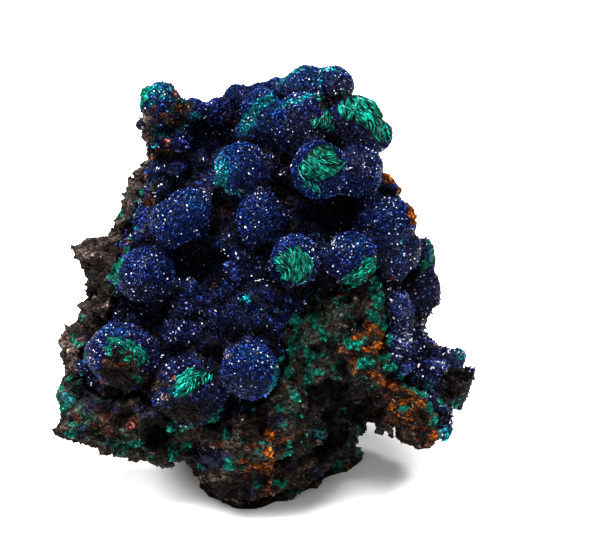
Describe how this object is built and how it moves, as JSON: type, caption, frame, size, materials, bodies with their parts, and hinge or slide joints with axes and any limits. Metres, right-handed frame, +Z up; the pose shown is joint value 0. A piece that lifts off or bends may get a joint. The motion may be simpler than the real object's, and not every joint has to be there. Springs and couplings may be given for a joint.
{
  "type": "azurite specimen",
  "caption": "Hand specimen of rounded azurite balls and druse with malachite tufts on dark iron-oxide rock, standing on its broken base.",
  "frame": {"origin": "on the ground under the middle of the specimen's box", "axes": "+Z up, -Y towards the side that the azurite face looks to, +X to the right as seen from there"},
  "size_m": [0.0613, 0.0498, 0.0616],
  "materials": {
    "rock": "rough broken iron-oxide rock, dark brown with orange and green patches",
    "azurite": "druse of tiny deep blue crystals with bright faces",
    "malachite": "silky green fibres"
  },
  "bodies": {
    "root": {"matrix": "rock", "azurite": "azurite", "malachite_chief": "malachite", "malachite_disc": "malachite", "malachite_north_east": "malachite", "malachite_north": "malachite", "malachite_east": "malachite", "malachite_shell": "malachite"}
  },
  "joints": []
}
